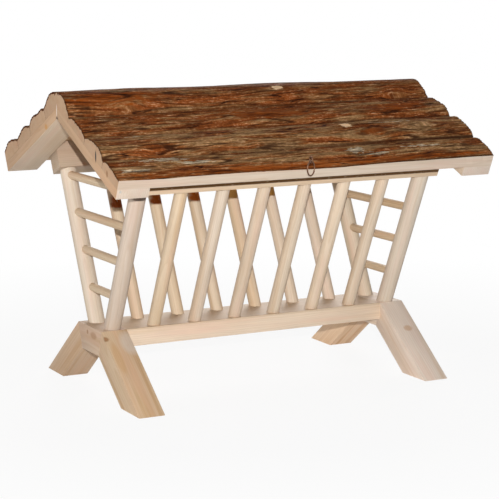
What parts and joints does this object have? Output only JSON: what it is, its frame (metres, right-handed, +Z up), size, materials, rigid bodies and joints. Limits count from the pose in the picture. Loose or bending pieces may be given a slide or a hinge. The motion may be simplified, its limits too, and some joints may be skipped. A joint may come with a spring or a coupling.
{
  "type": "hay feeder box",
  "caption": "Free-standing wooden hay rack: a V of round slats on splayed legs under a lifting bark-slab roof.",
  "frame": {"origin": "middle of the bounding box at floor level", "axes": "+X along the ridge, -Y the front with the lifting ring, +Z up"},
  "size_m": [0.47, 0.3676, 0.3485],
  "materials": {
    "sawn_wood": "bare sawn softwood",
    "dowel_wood": "bare turned dowel",
    "bark_slab": "rough bark over pale softwood",
    "hinge_metal": "plated steel",
    "ring_wire": "dull wire"
  },
  "bodies": {
    "rack": {"base_beam": "sawn_wood", "beam_dowels": "dowel_wood", "yoke_left": "sawn_wood", "yoke_right": "sawn_wood", "leg_front_left": "sawn_wood", "leg_front_right": "sawn_wood", "leg_back_left": "sawn_wood", "leg_back_right": "sawn_wood", "post_front_left": "dowel_wood", "post_front_right": "dowel_wood", "post_back_left": "dowel_wood", "post_back_right": "dowel_wood", "slat_front_1": "dowel_wood", "slat_front_2": "dowel_wood", "slat_front_3": "dowel_wood", "slat_front_4": "dowel_wood", "slat_front_5": "dowel_wood", "slat_front_6": "dowel_wood", "slat_back_1": "dowel_wood", "slat_back_2": "dowel_wood", "slat_back_3": "dowel_wood", "slat_back_4": "dowel_wood", "slat_back_5": "dowel_wood", "slat_back_6": "dowel_wood", "rung_left_1": "dowel_wood", "rung_left_2": "dowel_wood", "rung_left_3": "dowel_wood", "rung_left_4": "dowel_wood", "rung_right_1": "dowel_wood", "rung_right_2": "dowel_wood", "rung_right_3": "dowel_wood", "rung_right_4": "dowel_wood", "top_rail_front": "sawn_wood", "top_rail_back": "sawn_wood", "hinge_rail_leaf_left": "hinge_metal", "hinge_rail_leaf_right": "hinge_metal", "hinge_pin_left": "hinge_metal", "hinge_pin_right": "hinge_metal", "rail_screws": "hinge_metal"},
    "roof": {"hinge_roof_leaf_left": "hinge_metal", "hinge_roof_leaf_right": "hinge_metal", "roof_screws": "hinge_metal", "slab_front_1": "bark_slab", "slab_front_2": "bark_slab", "slab_front_3": "bark_slab", "slab_front_4": "bark_slab", "slab_back_1": "bark_slab", "slab_back_2": "bark_slab", "slab_back_3": "bark_slab", "slab_back_4": "bark_slab", "batten_front_left": "sawn_wood", "batten_front_right": "sawn_wood", "batten_back_left": "sawn_wood", "batten_back_right": "sawn_wood", "screw_eye": "ring_wire"},
    "ring": {"pull_ring": "ring_wire"}
  },
  "joints": [
    {"name": "roof_hinge", "type": "hinge", "parent": "rack", "child": "roof", "pos_m": [0, 0.13656, 0.26765], "axis": [-1, 0, 0], "range_deg": [0, 80]},
    {"name": "ring_swing", "type": "hinge", "parent": "roof", "child": "ring", "pos_m": [-0.01, -0.17873, 0.2763], "axis": [-0.8434, -0.5373, 0], "range_deg": [0, 120]}
  ]
}
